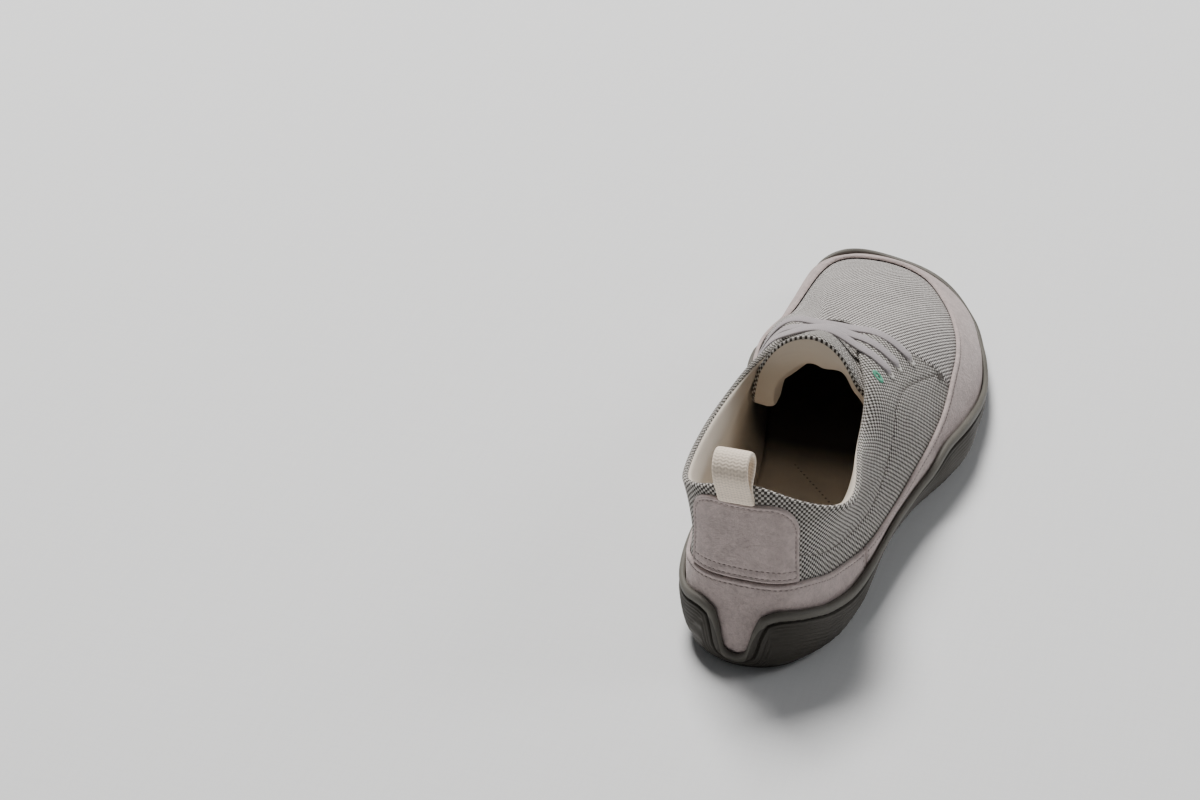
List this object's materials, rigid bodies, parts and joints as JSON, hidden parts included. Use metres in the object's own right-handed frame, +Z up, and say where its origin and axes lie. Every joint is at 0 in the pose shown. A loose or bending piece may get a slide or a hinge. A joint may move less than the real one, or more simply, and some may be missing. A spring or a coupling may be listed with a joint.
{
  "type": "barefoot shoe",
  "caption": "Low right-foot barefoot shoe with a woven upper, suede band, flat wrapped rubber sole, open collar, padded tongue, flat laces and a heel pull loop.",
  "frame": {"origin": "centre of the shoe's bounding box in plan, at the floor under the sole", "axes": "+Z up, +Y from the heel to the toe, +X toward the outer side of a right foot"},
  "size_m": [0.0964, 0.2692, 0.0878],
  "materials": {
    "sole_rubber": "matte olive-grey moulded rubber",
    "woven_fabric": "basket weave of off-white and dark grey-brown threads",
    "lining_fabric": "smooth cream lining",
    "suede": "soft pinkish-taupe suede",
    "lace_cord": "flat woven grey-lilac lace",
    "loop_tape": "woven cream cotton tape"
  },
  "bodies": {
    "root": {"outsole": "sole_rubber", "upper": "woven_fabric", "insole": "lining_fabric", "tongue": "woven_fabric", "foxing_front": "suede", "foxing_heel": "suede", "heel_patch": "suede", "lace_bar_back": "lace_cord", "lace_bar_middle": "lace_cord", "lace_bar_front": "lace_cord", "pull_loop": "loop_tape"}
  },
  "joints": []
}
